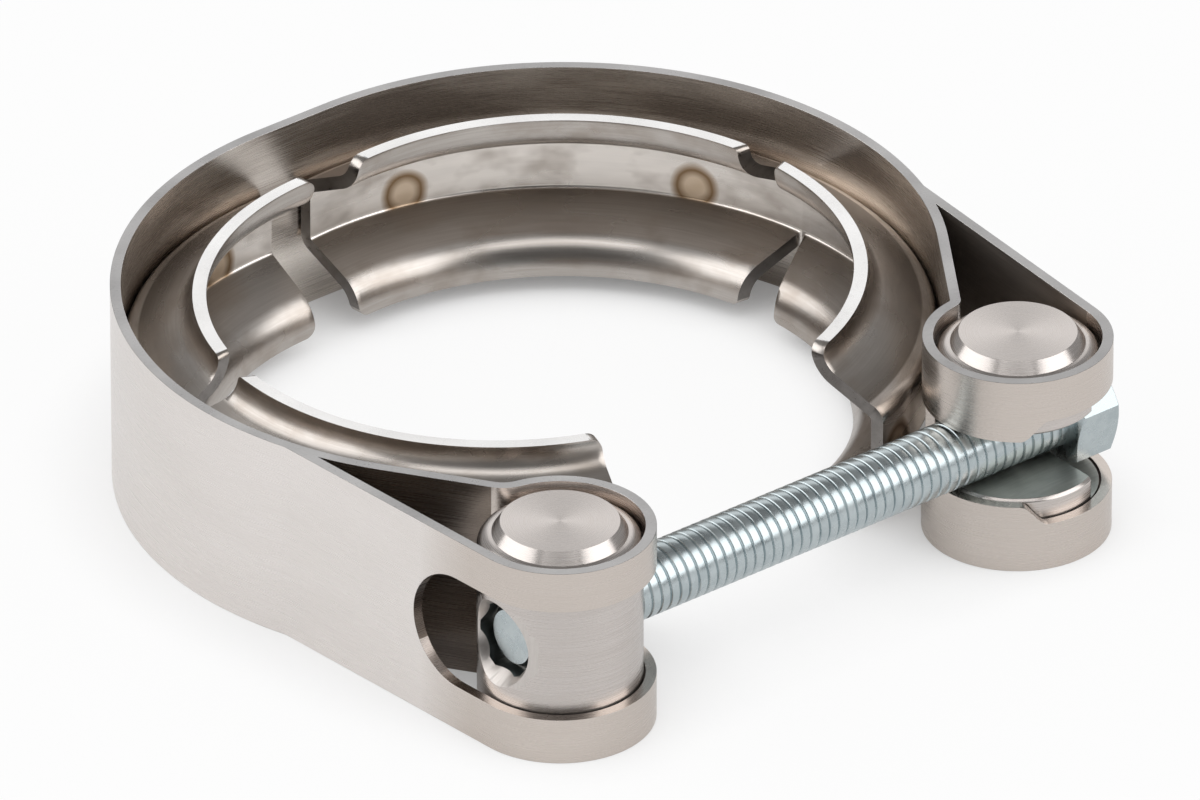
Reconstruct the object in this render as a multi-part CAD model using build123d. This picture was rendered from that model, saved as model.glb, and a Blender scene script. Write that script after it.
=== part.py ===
from build123d import *
import os
from math import acos, atan2, cos, degrees, radians, sqrt, tan

# V-profile band clamp, sprung open.
# The ring axis is Z, the clamp stands on z = 0, and the opening and the bolt face -Y.
# All lengths are in mm and all angles in degrees.
# Each side is drawn as the right one, at +X, and the left one is mirrored.

# Band
band_width = 25.0
strap_thickness = 1.25
ring_radius = 44.7          # outside of the strap on each half ring
half_spread = 4.85          # each half ring's centre stands this far from the middle
rim_chamfer = 0.15

# Places of the trunnions, seen along the ring axis
trunnion_spacing = 67.6
trunnion_radius = 9.5
trunnion_sink = 6.9         # a trunnion reaches this far inside the ring's outer radius
trunnion_play = 0.25        # running gap between a trunnion and its loop
trunnion_proud = 0.55       # a trunnion's top stands this far above the rim
trunnion_lift = 0.1         # and its bottom this far above the ground

# Strap ends
leg_sink = 3.15             # the inner leg's centre line passes this far inside the trunnion's radius
left_neck_radius = 4.0
right_neck_radius = 1.3
weld_angle = 18.2           # where the outer leg meets the ring's outside, below the X axis

# Windows in the loops
left_window_height = 14.3
head_window_gap = 0.27      # above and below the bolt head's corners
shank_window_gap = 0.35     # above and below the shank
window_reach = 11.8         # along the outer leg, past the trunnion axis
window_end_angle = 124.0    # where each window ends near the neck
window_step_angle = -119.0  # where the right window narrows
window_corner = 1.9
window_overlap = 8.0        # angle by which neighbouring window cutters overlap

# Retainer segments
retainer_thickness = 1.6
retainer_top_inset = 1.5    # from the strap's rims to the lips' edges
retainer_bottom_inset = 2.5
retainer_depth = 9.85       # from the strap to the inside of the lips
weld_gap = 0.08
lip_height = 2.8            # from a lip's edge to its corner with the flank
flank_rise = 4.1            # how far each flank climbs between base and lip
base_bend = 1.3
lip_bend = 4.0
right_back_edge = 0.4       # each segment's back end, from the middle plane
left_back_edge = 5.1
retainer_end_angle = -71.0
retainer_corner = 1.5
right_notch_angle = 9.0
left_notch_angle = 10.5
notch_mouth = 5.2           # width of the notch at the lips
notch_tip = 1.1             # and where it runs out, at the base
notch_mouth_round = 0.7

# Bolt
bolt_diameter = 8.0
bolt_length = 79.2
bolt_tip_chamfer = 0.75
head_flats = 11.4
head_height = 6.4
head_turn = 12.0            # turn of the hexagon about the bolt axis
head_face_radius = 5.1      # outer face, inside its chamfer
head_seat_radius = 5.6      # bearing face
head_chamfer_angle = 27.0
head_dome = 0.15
seat_gap = 0.6              # the bolt is slack: head to seat

# Trunnion details
top_flat_radius = 6.85
ledge_radius = 7.8
ledge_depth = 1.4
thread_gap = 0.05
seat_distance = 3.9         # from the right trunnion's axis to the head's seat
slot_gap = 0.25             # between the shank and the slot's floor and roof
slot_depth = 5.0            # behind the bolt axis
head_pocket_gap = 0.4
slot_chamfer = 0.35
mouth_radius = 5.6
mouth_depth = 1.8
hex_pocket_flats = 8.2
hex_pocket_depth = 1.6
bore_chamfer = 0.5

# Modelling
overshoot = 1.0             # cutters reach this far past a face
tolerance = 0.01            # for picking edges and faces by their place

# Worked out from the sizes above
trunnion_height = band_width + trunnion_proud - trunnion_lift
bolt_height = trunnion_lift + trunnion_height / 2
bolt_y = trunnion_sink - ring_radius - trunnion_radius
leg_offset = trunnion_radius - leg_sink
inner_radius = ring_radius - strap_thickness
middle_radius = ring_radius - strap_thickness / 2
loop_inner = trunnion_radius + trunnion_play
loop_middle = loop_inner + strap_thickness / 2
loop_outer = loop_inner + strap_thickness
ring_centre = Vector(half_spread, 0)
trunnion_axis = Vector(trunnion_spacing / 2, bolt_y)
head_corner_radius = head_flats / 2 / cos(radians(30))
head_window_height = 2 * (head_corner_radius + head_window_gap)
shank_window_height = bolt_diameter + 2 * shank_window_gap
bolt_seat_x = trunnion_axis.X + seat_distance + seat_gap
retainer_height = band_width - retainer_top_inset - retainer_bottom_inset
retainer_middle = retainer_bottom_inset + retainer_height / 2
base_height = retainer_height - 2 * (lip_height + flank_rise)


def polar(centre, radius, angle):
    return centre + Vector(radius, 0).rotate(Axis.Z, angle)


def angle_of(vector):
    return degrees(atan2(vector.Y, vector.X))


def arc(centre, radius, start, end):
    return CenterArc((centre.X, centre.Y), radius, start, end - start)


# Strap: ring, inner leg, neck, loop and outer leg, as one folded strip

def strap_plan(neck_radius):
    # The inner leg touches the ring and passes the trunnion axis at leg_offset.
    reach = trunnion_axis - ring_centre
    leg_angle = angle_of(reach) + degrees(acos((middle_radius + leg_offset) / reach.length))
    across = polar(Vector(0, 0), 1, leg_angle)
    along = across.rotate(Axis.Z, -90)
    leg_start = ring_centre + across * middle_radius

    # The neck bends the strip back, so that it can go round the trunnion.
    run = sqrt((loop_middle + neck_radius) ** 2 - (leg_offset + neck_radius) ** 2)
    neck_centre = trunnion_axis - across * (leg_offset + neck_radius) - along * run
    leg_end = neck_centre + across * neck_radius
    neck_angle = angle_of(neck_centre - trunnion_axis)

    # The outer leg touches the loop and is welded to the ring's outside.
    weld_point = polar(ring_centre, ring_radius, -weld_angle)
    reach = weld_point - trunnion_axis
    outer_angle = angle_of(reach) - degrees(acos(loop_outer / reach.length))
    outer_start = polar(trunnion_axis, loop_middle, outer_angle)
    outer_along = polar(Vector(0, 0), 1, outer_angle + 90)
    outer_run = sqrt(reach.length ** 2 - loop_outer ** 2) + strap_thickness
    outer_end = outer_start + outer_along * outer_run

    strip = trace([
        Line((0, middle_radius), (half_spread, middle_radius)),
        arc(ring_centre, middle_radius, leg_angle, 90),
        Line(leg_start, leg_end),
        arc(neck_centre, neck_radius, neck_angle - 180, leg_angle),
        arc(trunnion_axis, loop_middle, neck_angle, 360 + outer_angle),
    ], strap_thickness)
    outer_leg = trace(Line(outer_start, outer_end), strap_thickness)
    outer_leg -= Pos(ring_centre) * Circle(middle_radius)
    return strip + outer_leg


# Cutters for the windows

def loop_window(height, start, end):
    # Clockwise through the loop's wall, from one angle to another
    cutter_inner = loop_inner - strap_thickness
    cutter_outer = loop_outer + strap_thickness
    wall = Circle(cutter_outer) - Circle(cutter_inner)
    sides = 3
    turn = (end - start) / sides
    corners = [polar(Vector(0, 0), 2 * cutter_outer, start + turn * i) for i in range(sides + 1)]
    wedge = Polygon((0, 0), *[(p.X, p.Y) for p in corners], align=None)
    return Pos(trunnion_axis) * Pos(0, 0, bolt_height) * extrude(wall & wedge, height / 2, both=True)


def round_window_end(cutter, end):
    # Rounds the cutter's two corners at its end angle
    target = polar(trunnion_axis, loop_middle, end) + Vector(0, 0, bolt_height)
    lines = cutter.edges().filter_by(GeomType.LINE)
    radial = lines.filter_by(lambda e: abs((e @ 0).Z - (e @ 1).Z) < tolerance)
    ends = radial.sort_by(lambda e: (e.center() - target).length)[:2]
    return fillet(ends, window_corner)


def leg_window(height):
    # Through the outer leg, from the loop up to a full-round end
    length = window_reach + height
    centre_y = (window_reach - height) / 2
    slot = Plane.YZ * SlotOverall(length, height)
    cutter = extrude(slot, 3 * strap_thickness, both=True)
    return Pos(trunnion_axis) * Pos(loop_middle, centre_y, bolt_height) * cutter


def strap_side(neck_radius, cutters):
    side = extrude(strap_plan(neck_radius), band_width)
    rims = side.faces().filter_by(Axis.Z).edges()
    joint = rims.filter_by(lambda e: abs(e.center().X) < tolerance)
    side = chamfer([e for e in rims if e not in joint], rim_chamfer)
    for cutter in cutters:
        side -= cutter
    return side


def make_strap():
    window_end = window_end_angle - 360
    left = strap_side(left_neck_radius, [
        loop_window(left_window_height, window_overlap, window_end),
        leg_window(left_window_height),
    ])
    wide = loop_window(head_window_height, window_overlap, window_step_angle)
    right = strap_side(right_neck_radius, [
        round_window_end(wide, window_step_angle),
        loop_window(shank_window_height, window_step_angle + window_overlap, window_end),
        leg_window(head_window_height),
    ])
    return right + mirror(left, Plane.YZ)


# Retainer segments: flat base, two flanks and two lips, bent round the ring

def notch_outline(lip, base):
    # Seen from above: from its mouth, past the lip, to its rounded tip at the inside of the base
    outside = lip - retainer_thickness
    tip = base - retainer_thickness / 2
    taper = (notch_mouth - notch_tip) / (tip - lip)
    half_mouth = notch_mouth / 2 + taper * retainer_thickness / 2
    half_tip = notch_tip / 2
    outline = Polygon((outside, -half_mouth), (tip, -half_tip), (tip, half_tip), (outside, half_mouth), align=None)
    return fillet(outline.vertices().sort_by(Axis.X)[-2:], half_tip)


def make_retainer(back_edge, notch_angle):
    base = inner_radius - weld_gap - retainer_thickness / 2
    lip = inner_radius - retainer_depth + retainer_thickness / 2
    base_end = base_height / 2
    lip_start = base_end + flank_rise
    lip_end = retainer_height / 2
    section = FilletPolyline(
        (lip, -lip_end), (lip, -lip_start), (base, -base_end),
        (base, base_end), (lip, lip_start), (lip, lip_end),
        radius=(lip_bend, base_bend, base_bend, lip_bend),
    )
    back_angle = 90 + degrees(atan2(half_spread - back_edge, base))
    span = back_angle - retainer_end_angle
    profile = Plane.XZ * trace(section, retainer_thickness)
    segment = Rot(0, 0, retainer_end_angle) * revolve(profile, Axis.Z, span)

    notch = extrude(notch_outline(lip, base), retainer_height, both=True)
    segment -= Rot(0, 0, notch_angle) * notch

    # The lips' corners are rounded, first at the segment's ends and then beside the notch.
    notch_place = polar(Vector(0, 0), lip, notch_angle)

    def from_notch(edge):
        return (Vector(edge.center().X, edge.center().Y) - notch_place).length

    for beside_notch, radius in ((False, retainer_corner), (True, notch_mouth_round)):
        lines = segment.edges().filter_by(GeomType.LINE)
        at_lip = lines.filter_by(lambda e: abs(abs(e.center().Z) - lip_end) < tolerance)
        corners = [e for e in at_lip if (from_notch(e) < notch_mouth) == beside_notch]
        segment = fillet(corners, radius)
    return Pos(ring_centre) * Pos(0, 0, retainer_middle) * segment


# Trunnions: turned barrels with the same stepped ends

def barrel():
    half = trunnion_height / 2
    shoulder = trunnion_radius - ledge_radius
    outline = Polyline(
        (0, half), (top_flat_radius, half), (ledge_radius, half - ledge_depth),
    ) + RadiusArc((ledge_radius, half - ledge_depth), (trunnion_radius, half - ledge_depth - shoulder), shoulder)
    outline += Line((trunnion_radius, half - ledge_depth - shoulder), (trunnion_radius, 0))
    outline += Line((trunnion_radius, 0), (0, 0))
    outline += Line((0, 0), (0, half))
    upper = revolve(Plane.XZ * make_face(outline), Axis.Z)
    return Pos(0, 0, trunnion_lift + half) * (upper + mirror(upper, Plane.XY))


def along_x(sketch, start, end):
    # Extrudes a sketch along the bolt axis, between two distances from a trunnion's axis
    return extrude(Pos(start, 0, bolt_height) * (Plane.YZ * sketch), end - start)


def make_right_trunnion():
    reach = 2 * trunnion_radius
    slot_height = bolt_diameter + 2 * slot_gap
    pocket_height = 2 * (head_corner_radius + head_pocket_gap)
    slot = Pos(0, slot_depth - reach / 2, bolt_height) * Box(2 * reach, reach, slot_height)
    pocket = Pos(seat_distance + reach / 2, 0, bolt_height) * Box(reach, 2 * reach, pocket_height)
    body = barrel() - slot
    floor_edges = body.faces().filter_by(Axis.Z).filter_by(
        lambda f: abs(abs(f.center().Z - bolt_height) - slot_height / 2) < tolerance).edges()
    body = chamfer(floor_edges.filter_by(GeomType.CIRCLE), slot_chamfer)
    return Pos(trunnion_axis) * (body - pocket)


def make_left_trunnion():
    bore_radius = bolt_diameter / 2 + thread_gap
    mouth_floor = mouth_depth - trunnion_radius
    pocket_floor = mouth_floor + hex_pocket_depth
    bore = along_x(Circle(bore_radius), -trunnion_radius, trunnion_radius)
    pocket = along_x(RegularPolygon(hex_pocket_flats / 2, 6, major_radius=False), -trunnion_radius, pocket_floor)
    pocket_corner = hex_pocket_flats / 2 / cos(radians(30))
    mouth_slope = (mouth_radius - pocket_corner) / mouth_depth
    mouth = Cone(pocket_corner, mouth_radius + mouth_slope * overshoot, mouth_depth + overshoot,
                 align=(Align.CENTER, Align.CENTER, Align.MIN))
    mouth = Pos(mouth_floor, 0, bolt_height) * Rot(0, -90, 0) * mouth
    exit_cone = Cone(bore_radius + bore_chamfer + overshoot, bore_radius, bore_chamfer + overshoot,
                     align=(Align.CENTER, Align.CENTER, Align.MAX))
    exit_cone = Pos(trunnion_radius - bore_chamfer, 0, bolt_height) * Rot(0, -90, 0) * exit_cone
    body = barrel() - bore - pocket - mouth - exit_cone
    return Pos(-trunnion_axis.X, trunnion_axis.Y) * body


# Bolt: plain shank at the thread's outer diameter, with a chamfered hexagon head

def make_bolt():
    shank = Cylinder(bolt_diameter / 2, bolt_length, align=(Align.CENTER, Align.CENTER, Align.MAX))
    shank = chamfer(shank.edges().sort_by(Axis.Z)[0], bolt_tip_chamfer)
    slope = tan(radians(head_chamfer_angle))
    seat_rim = (head_corner_radius - head_seat_radius) * slope
    face_rim = head_height - head_dome
    side_end = face_rim - (head_corner_radius - head_face_radius) * slope
    outline = Polyline(
        (0, 0), (head_seat_radius, 0), (head_corner_radius, seat_rim), (head_corner_radius, side_end),
        (head_face_radius, face_rim), (0, face_rim), close=True,
    )
    dome_radius = (head_face_radius ** 2 + head_dome ** 2) / (2 * head_dome)
    dome = Pos(0, 0, head_height - dome_radius) * Sphere(dome_radius)
    stem = Cylinder(head_face_radius, head_height, align=(Align.CENTER, Align.CENTER, Align.MIN))
    envelope = revolve(Plane.XZ * make_face(outline), Axis.Z) + (dome & stem)
    hexagon = extrude(RegularPolygon(head_flats / 2, 6, major_radius=False), head_height)
    bolt = shank + (envelope & hexagon)
    return Pos(bolt_seat_x, bolt_y, bolt_height) * Rot(head_turn, 0, 0) * Rot(0, 90, 0) * bolt


def make_parts():
    return {
        "strap": make_strap(),
        "left_retainer": mirror(make_retainer(left_back_edge, left_notch_angle), Plane.YZ),
        "right_retainer": make_retainer(right_back_edge, right_notch_angle),
        "left_trunnion": make_left_trunnion(),
        "right_trunnion": make_right_trunnion(),
        "bolt": make_bolt(),
    }


if __name__ == "__main__":
    os.makedirs("parts", exist_ok=True)
    for name, solid in make_parts().items():
        export_step(solid, f"parts/{name}.step")
        print(name, len(solid.solids()), round(solid.volume, 2))
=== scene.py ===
import math
import bpy
from mathutils import Matrix, Vector


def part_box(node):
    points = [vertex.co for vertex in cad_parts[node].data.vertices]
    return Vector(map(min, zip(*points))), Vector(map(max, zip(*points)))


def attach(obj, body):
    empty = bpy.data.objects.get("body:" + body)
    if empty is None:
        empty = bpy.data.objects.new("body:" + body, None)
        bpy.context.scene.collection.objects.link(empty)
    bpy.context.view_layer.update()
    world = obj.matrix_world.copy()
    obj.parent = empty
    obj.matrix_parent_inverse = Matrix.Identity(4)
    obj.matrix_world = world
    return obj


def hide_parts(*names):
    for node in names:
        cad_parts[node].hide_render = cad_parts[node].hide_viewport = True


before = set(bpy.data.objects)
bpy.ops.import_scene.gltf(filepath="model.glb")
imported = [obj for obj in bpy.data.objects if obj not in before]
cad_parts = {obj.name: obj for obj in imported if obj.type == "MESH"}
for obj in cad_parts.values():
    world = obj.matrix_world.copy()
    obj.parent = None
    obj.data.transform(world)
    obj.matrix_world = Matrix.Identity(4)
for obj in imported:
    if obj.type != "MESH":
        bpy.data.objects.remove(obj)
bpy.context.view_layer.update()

mm = 0.001


def middleOf(node):
    low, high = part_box(node)
    return (low + high) / 2


leftAxis = middleOf("left_trunnion")
rightAxis = middleOf("right_trunnion")
boltMiddle = middleOf("bolt")
print("stage: frame loaded")


# Clamp: sizes in mm that its pieces share
clamp = {
    "height": 25.0,
    "ringRadius": 44.7,
    "halfSpread": 4.85,
    "strapThickness": 1.25,
    "trunnionRadius": 9.5,
    "boltHeight": boltMiddle.z / mm,
}
ringCentre = Vector((clamp["halfSpread"], 0))
doubled = 0.0005  # Between points that are one
touching = 0.01   # From a point to the plane that it lies on
near = 0.05       # From a face to the edge that it lies beside


# Camera: the photo looks down on the clamp from its front left, through a long lens
cameraLook = {
    "azimuth": -39.0,
    "elevation": 30.5,
    "lens": 800.0,
    "sensor": 36.0,
    "millimetresPerPixel": 0.1156,
    "imageWidth": 1200,
    "imageHeight": 800,
    "aim": (0.0, 0.0, clamp["height"] / 2 * mm),
    "aimPixel": (530.5, 360.9),
    "clipStart": 0.1,  # Both as shares of the distance
    "clipEnd": 10.0,
}


def directionTo(azimuth, elevation):
    # Azimuth 0 is the front, -Y, and grows towards +X
    turn = math.radians(azimuth)
    rise = math.radians(elevation)
    return Vector((math.sin(turn) * math.cos(rise), -math.cos(turn) * math.cos(rise), math.sin(rise)))


def addCamera(look):
    back = directionTo(look["azimuth"], look["elevation"])
    pixel = look["millimetresPerPixel"] * mm
    distance = look["lens"] / look["sensor"] * look["imageWidth"] * pixel
    rotation = (-back).to_track_quat("-Z", "Y")
    right = rotation @ Vector((1, 0, 0))
    up = rotation @ Vector((0, 1, 0))
    offsetRight = (look["imageWidth"] / 2 - look["aimPixel"][0]) * pixel
    offsetUp = (look["aimPixel"][1] - look["imageHeight"] / 2) * pixel
    middle = Vector(look["aim"]) + right * offsetRight + up * offsetUp
    bpy.ops.object.camera_add(location=middle + back * distance)
    camera = bpy.context.object
    camera.name = "photoCamera"
    camera.rotation_mode = "QUATERNION"
    camera.rotation_quaternion = rotation
    camera.data.lens = look["lens"]
    camera.data.sensor_width = look["sensor"]
    camera.data.clip_start = distance * look["clipStart"]
    camera.data.clip_end = distance * look["clipEnd"]
    bpy.context.scene.camera = camera


addCamera(cameraLook)
print("stage: camera")


# Nodes for the materials
def addNode(tree, kind, **settings):
    node = tree.nodes.new(kind)
    for key, value in settings.items():
        setattr(node, key, value)
    return node


def plug(tree, value, socket):
    # Links a socket's output, or sets a plain value
    if isinstance(value, bpy.types.NodeSocket):
        tree.links.new(value, socket)
    else:
        socket.default_value = value


def feed(tree, node, *values):
    # Fills the node's inputs in order, and gives its first output
    for value, socket in zip(values, node.inputs):
        plug(tree, value, socket)
    return node.outputs[0]


def calc(tree, operation, *values):
    return feed(tree, addNode(tree, "ShaderNodeMath", operation=operation), *values)


def vectorCalc(tree, operation, *values):
    return feed(tree, addNode(tree, "ShaderNodeVectorMath", operation=operation), *values)


def times(tree, first, second):
    return calc(tree, "MULTIPLY", first, second)


def lengthOf(tree, x, y):
    return calc(tree, "SQRT", calc(tree, "ADD", times(tree, x, x), times(tree, y, y)))


def weighted(tree, first, second, share):
    # Two tones in one, the second of them with the given share
    return calc(tree, "ADD", times(tree, first, 1 - share), times(tree, second, share))


def spread(tree, value, reach, newReach=(0.0, 1.0)):
    # Carries one range over to another, and holds at its ends
    return feed(tree, addNode(tree, "ShaderNodeMapRange"), value, *reach, *newReach)


def noise(tree, place, scale, detail=2.0, roughness=0.5):
    # The scale is in features a metre along each axis
    node = addNode(tree, "ShaderNodeTexNoise")
    plug(tree, vectorCalc(tree, "MULTIPLY", place, scale), node.inputs["Vector"])
    node.inputs["Scale"].default_value = 1.0
    node.inputs["Detail"].default_value = detail
    node.inputs["Roughness"].default_value = roughness
    return node.outputs["Fac"]


def blendColour(tree, factor, first, second, blend="MIX"):
    node = addNode(tree, "ShaderNodeMix", data_type="RGBA", blend_type=blend)
    plug(tree, factor, node.inputs["Factor"])
    plug(tree, first, node.inputs["A"])
    plug(tree, second, node.inputs["B"])
    return node.outputs["Result"]


def objectPlace(tree):
    return addNode(tree, "ShaderNodeTexCoord").outputs["Object"]


def splitPlace(tree, place):
    node = addNode(tree, "ShaderNodeSeparateXYZ")
    plug(tree, place, node.inputs[0])
    return node.outputs["X"], node.outputs["Y"], node.outputs["Z"]


def joinPlace(tree, x, y, z):
    return feed(tree, addNode(tree, "ShaderNodeCombineXYZ"), x, y, z)


def roundPlace(tree, centreX, centreY):
    # Angle, radius and height about an axis that both sides of the clamp have, at plus and minus X
    x, y, z = splitPlace(tree, objectPlace(tree))
    x = calc(tree, "SUBTRACT", calc(tree, "ABSOLUTE", x), centreX)
    y = calc(tree, "SUBTRACT", y, centreY)
    return calc(tree, "ARCTAN2", y, x), lengthOf(tree, x, y), z


def roundAxis(tree, centreX, centreY):
    # The direction round an axis at plus or minus X, which turns with the piece
    x, y = splitPlace(tree, objectPlace(tree))[:2]
    x = calc(tree, "SUBTRACT", x, times(tree, calc(tree, "SIGN", x), centreX))
    y = calc(tree, "SUBTRACT", y, centreY)
    level = vectorCalc(tree, "NORMALIZE", joinPlace(tree, times(tree, y, -1.0), x, 0.0))
    turn = addNode(tree, "ShaderNodeVectorTransform", vector_type="VECTOR",
                   convert_from="OBJECT", convert_to="WORLD")
    return feed(tree, turn, level)


def acrossGrain(tree, centreX, centreY):
    # Brushed steel smears its reflections square to its grain, which runs round an axis
    normal = addNode(tree, "ShaderNodeNewGeometry").outputs["Normal"]
    across = vectorCalc(tree, "CROSS_PRODUCT", roundAxis(tree, centreX, centreY), normal)
    offZero = (0.001, 0.001, 0.002)  # For faces that look along the grain
    return vectorCalc(tree, "ADD", across, offZero)


def newMetal(look):
    metal = bpy.data.materials.new(look["name"])
    metal.use_nodes = True
    shader = metal.node_tree.nodes["Principled BSDF"]
    shader.inputs["Metallic"].default_value = 1
    shader.inputs["Roughness"].default_value = look["roughness"]
    shader.inputs["Anisotropic"].default_value = look.get("anisotropy", 0.0)
    return metal, metal.node_tree, shader


def toned(tree, tone, look):
    # From the look's shade to its colour, as the tone goes through its contrast
    return blendColour(tree, spread(tree, tone, look["contrast"]), look["shade"], look["colour"])


def coat(tree, shader, look, colour, wear, height):
    # The roughness swings with the wear, and the height makes fine bumps
    plug(tree, colour, shader.inputs["Base Color"])
    roughReach = [look["roughness"] + swing for swing in look["roughSwing"]]
    plug(tree, spread(tree, wear, look["wearReach"], roughReach), shader.inputs["Roughness"])
    bump = addNode(tree, "ShaderNodeBump")
    plug(tree, height, bump.inputs["Height"])
    bump.inputs["Distance"].default_value = look["bumpDepth"]
    bump.inputs["Strength"].default_value = look["bumpStrength"]
    plug(tree, bump.outputs["Normal"], shader.inputs["Normal"])


# Strap: bright stainless strip, brushed along its length, with painted shade and painted reflections on its
# inside
# In every look, a pattern is a noise's scale, detail and roughness
strapSteelLook = {
    "name": "strapSteel",
    "colour": (0.86, 0.815, 0.79, 1),
    "shade": (0.80, 0.755, 0.725, 1),
    "contrast": (0.38, 0.62),
    "roughness": 0.25,
    "roughSwing": (-0.05, 0.06),
    "wearReach": (0.35, 0.65),
    "anisotropy": 0.55,
    "grain": ((110.0, 110.0, 9000.0), 3.0, 0.6),
    "strokes": ((260.0, 260.0, 22000.0), 2.0),
    "strokeShare": 0.4,
    "clouds": ((45.0, 45.0, 120.0), 3.0),
    "cloudShare": 0.3,
    "bumpDepth": 0.004 * mm,
    "bumpStrength": 0.5,
    "loopReach": (11.4 * mm, 16.0 * mm),
    "loopShade": (0.78, 0.745, 0.71, 1),
}
# Painted shade and painted reflections: the inside is browner and darker than the outside, with big clouds
# of painted highlight
paintedInsideLook = dict(strapSteelLook, name="paintedInside", colour=(0.98, 0.91, 0.84, 1),
                       shade=(0.40, 0.35, 0.31, 1), roughness=0.26,
                       clouds=((20.0, 20.0, 75.0), 3.0), cloudShare=0.75, contrast=(0.43, 0.58))
# Painted light: a paler copy of the painted inside, for the outer legs' faces towards the inner legs
litFacingLook = dict(paintedInsideLook, name="litFacing", colour=(0.92, 0.86, 0.80, 1),
                       shade=(0.62, 0.56, 0.51, 1), roughness=0.5)
# Painted shade: a dark copy of the inside, for the faces between the legs
shadedHollowLook = dict(paintedInsideLook, name="shadedHollow", colour=(0.34, 0.295, 0.26, 1),
                       shade=(0.16, 0.135, 0.12, 1))


def strapSteel(look):
    metal, tree, shader = newMetal(look)
    place = objectPlace(tree)
    grain = noise(tree, place, *look["grain"])
    strokes = noise(tree, place, *look["strokes"])
    clouds = noise(tree, place, *look["clouds"])
    lines = weighted(tree, grain, strokes, look["strokeShare"])
    colour = toned(tree, weighted(tree, lines, clouds, look["cloudShare"]), look)

    # Painted shade: the loops are a little darker and warmer
    fromAxis = roundPlace(tree, rightAxis.x, rightAxis.y)[1]
    shadedLoop = spread(tree, fromAxis, look["loopReach"], (1.0, 0.0))
    colour = blendColour(tree, shadedLoop, colour, look["loopShade"], "MULTIPLY")
    coat(tree, shader, look, colour, lines, lines)
    plug(tree, (0, 0, 1), shader.inputs["Tangent"])
    return metal


# Cut edges of both sheets: duller and greyer than their faces, and nicked by the shears
cutEdgeLook = {
    "name": "cutEdge",
    "wornBy": "marks",  # The pattern that the roughness follows
    "colour": (0.58, 0.57, 0.565, 1),
    "shade": (0.33, 0.322, 0.32, 1),
    "contrast": (0.35, 0.65),
    "roughness": 0.32,
    "roughSwing": (-0.08, 0.1),
    "wearReach": (0.3, 0.7),
    "marks": ((700.0, 700.0, 700.0), 4.0, 0.7),
    "clouds": ((90.0, 90.0, 90.0), 2.0),
    "cloudShare": 0.5,
    "bumpDepth": 0.01 * mm,
    "bumpStrength": 0.3,
}
# Painted shade: ends and notch sides of the retainers, darker than the cut edges' own dull grey
shadedEndLook = dict(cutEdgeLook, name="shadedEnd", colour=(0.33, 0.31, 0.295, 1),
                      shade=(0.19, 0.175, 0.165, 1))
# Painted dark reflection: a thin dark line on the rims' outer bevels
paintedDarkLineLook = dict(cutEdgeLook, name="paintedDarkLine", colour=(0.09, 0.085, 0.08, 1), shade=(0.05, 0.047, 0.044, 1))
# Painted highlight: bright lines on the strap's inner bevels and the retainers' lip rims
paintedHighlightLook = dict(cutEdgeLook, name="paintedHighlightEdge", colour=(0.95, 0.94, 0.93, 1),
                  shade=(0.70, 0.69, 0.68, 1), roughness=0.22)


def markedSteel(look):
    # Cut and milled faces: marks and clouds, and no grain
    metal, tree, shader = newMetal(look)
    place = objectPlace(tree)
    tones = {name: noise(tree, place, *look[name]) for name in ("marks", "clouds")}
    colour = toned(tree, weighted(tree, tones["marks"], tones["clouds"], look["cloudShare"]), look)
    coat(tree, shader, look, colour, tones[look["wornBy"]], tones["marks"])
    return metal


# Retainers: rolled sheet with a satin grain round the ring and brown spot-weld rings
retainerSteelLook = {
    "name": "retainerSteel",
    "colour": (0.66, 0.62, 0.585, 1),
    "shade": (0.46, 0.42, 0.385, 1),
    "contrast": (0.3, 0.7),
    "roughness": 0.27,
    "roughSwing": (-0.02, 0.03),
    "wearReach": (0.3, 0.7),
    "anisotropy": 0.4,
    "grain": ((90.0, 4200.0, 4200.0), 3.0, 0.6),
    "clouds": ((45.0, 160.0, 160.0), 3.0),
    "cloudShare": 0.55,
    "bumpDepth": 0.003 * mm,
    "bumpStrength": 0.4,
    "baseRadius": 41.77 * mm,
    "baseReach": (41.42 * mm, 41.67 * mm),
    # Painted light on the base, and painted shade on the flanks beside the bend
    "baseLitTint": (0.98, 0.92, 0.86, 1),
    "litReach": (0.3, 0.6),
    "litShare": (0.25, 0.8),
    "flankReach": (35.5 * mm, 41.0 * mm),
    "flankShade": (0.58, 0.555, 0.53, 1),
    "blotches": ((110.0, 190.0, 190.0), 3.0, 0.6),
    "stain": (0.40, 0.345, 0.30, 1),
    "stainReach": (0.47, 0.66),
    "stainShare": (0.0, 0.65),
    "weldHeight": 11.5 * mm,
    "weldAngle": math.radians(29.5),
    "weldStep": math.radians(48.0),
    "weldRadius": 2.3 * mm,
    "weldWidth": 1.0 * mm,
    "weldWander": 1.6 * mm,
    "weldBrown": (0.20, 0.12, 0.06, 1),
    "brownShare": (0.0, 0.95),
    "weldStraw": (0.62, 0.46, 0.30, 1),
    "strawShare": (0.0, 0.75),
}


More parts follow.
